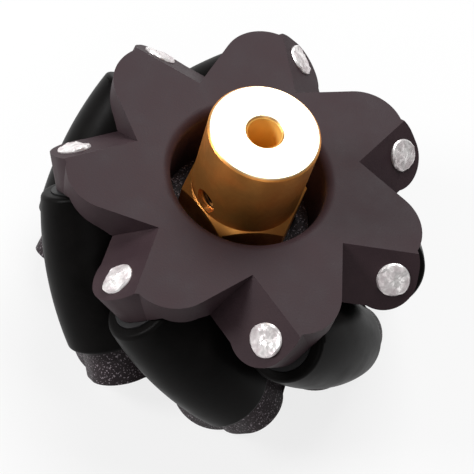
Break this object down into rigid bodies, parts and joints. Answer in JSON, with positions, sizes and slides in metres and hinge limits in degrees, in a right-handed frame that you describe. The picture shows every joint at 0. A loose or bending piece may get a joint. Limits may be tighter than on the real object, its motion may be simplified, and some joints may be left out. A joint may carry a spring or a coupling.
{
  "type": "omni wheel",
  "caption": "Small slanted-roller omni wheel: lobed plastic plates hold free-spinning barrel rollers on steel pins, with a brass set-screw shaft coupling.",
  "frame": {"origin": "on the wheel's axle line, in the plane of the back plate's flat face, which the wheel lies on", "axes": "+Z along the axle, out of the front plate through the brass coupling; +X from the axle to the middle of roller 1"},
  "size_m": [0.0479, 0.0482, 0.0342],
  "materials": {
    "plate_plastic": "matte moulded, dark purplish grey",
    "core_plastic": "smooth moulded, black",
    "roller_rubber": "smooth, slightly glossy",
    "pin_steel": "bright, roughly cropped ends",
    "hub_brass": "turned and polished",
    "grub_steel": "blackened",
    "screw_steel": "zinc plated"
  },
  "bodies": {
    "root": {"front_plate": "plate_plastic", "back_plate": "plate_plastic", "hub_coupling": "hub_brass", "grub_screw": "grub_steel", "retaining_screw": "screw_steel", "retaining_washer": "screw_steel", "axle_pin_1": "pin_steel", "axle_pin_2": "pin_steel", "axle_pin_3": "pin_steel", "axle_pin_4": "pin_steel", "axle_pin_5": "pin_steel", "axle_pin_6": "pin_steel", "axle_pin_7": "pin_steel"},
    "roller_1": {"roller_core_1": "core_plastic", "roller_tyre_1": "roller_rubber"},
    "roller_2": {"roller_core_2": "core_plastic", "roller_tyre_2": "roller_rubber"},
    "roller_3": {"roller_core_3": "core_plastic", "roller_tyre_3": "roller_rubber"},
    "roller_4": {"roller_core_4": "core_plastic", "roller_tyre_4": "roller_rubber"},
    "roller_5": {"roller_core_5": "core_plastic", "roller_tyre_5": "roller_rubber"},
    "roller_6": {"roller_core_6": "core_plastic", "roller_tyre_6": "roller_rubber"},
    "roller_7": {"roller_core_7": "core_plastic", "roller_tyre_7": "roller_rubber"}
  },
  "joints": [
    {"name": "roller_1_spin", "type": "hinge", "parent": "root", "child": "roller_1", "pos_m": [0.0181, 0, 0.0128], "axis": [0, -0.7071, 0.7071], "continuous": true},
    {"name": "roller_2_spin", "type": "hinge", "parent": "root", "child": "roller_2", "pos_m": [0.01128, 0.01415, 0.0128], "axis": [0.5528, -0.4409, 0.7071], "continuous": true},
    {"name": "roller_3_spin", "type": "hinge", "parent": "root", "child": "roller_3", "pos_m": [-0.00403, 0.01764, 0.0128], "axis": [0.6894, 0.1573, 0.7071], "continuous": true},
    {"name": "roller_4_spin", "type": "hinge", "parent": "root", "child": "roller_4", "pos_m": [-0.01631, 0.00785, 0.0128], "axis": [0.3068, 0.6371, 0.7071], "continuous": true},
    {"name": "roller_5_spin", "type": "hinge", "parent": "root", "child": "roller_5", "pos_m": [-0.01631, -0.00785, 0.0128], "axis": [-0.3068, 0.6371, 0.7071], "continuous": true},
    {"name": "roller_6_spin", "type": "hinge", "parent": "root", "child": "roller_6", "pos_m": [-0.00403, -0.01764, 0.0128], "axis": [-0.6894, 0.1573, 0.7071], "continuous": true},
    {"name": "roller_7_spin", "type": "hinge", "parent": "root", "child": "roller_7", "pos_m": [0.01128, -0.01415, 0.0128], "axis": [-0.5528, -0.4409, 0.7071], "continuous": true}
  ]
}
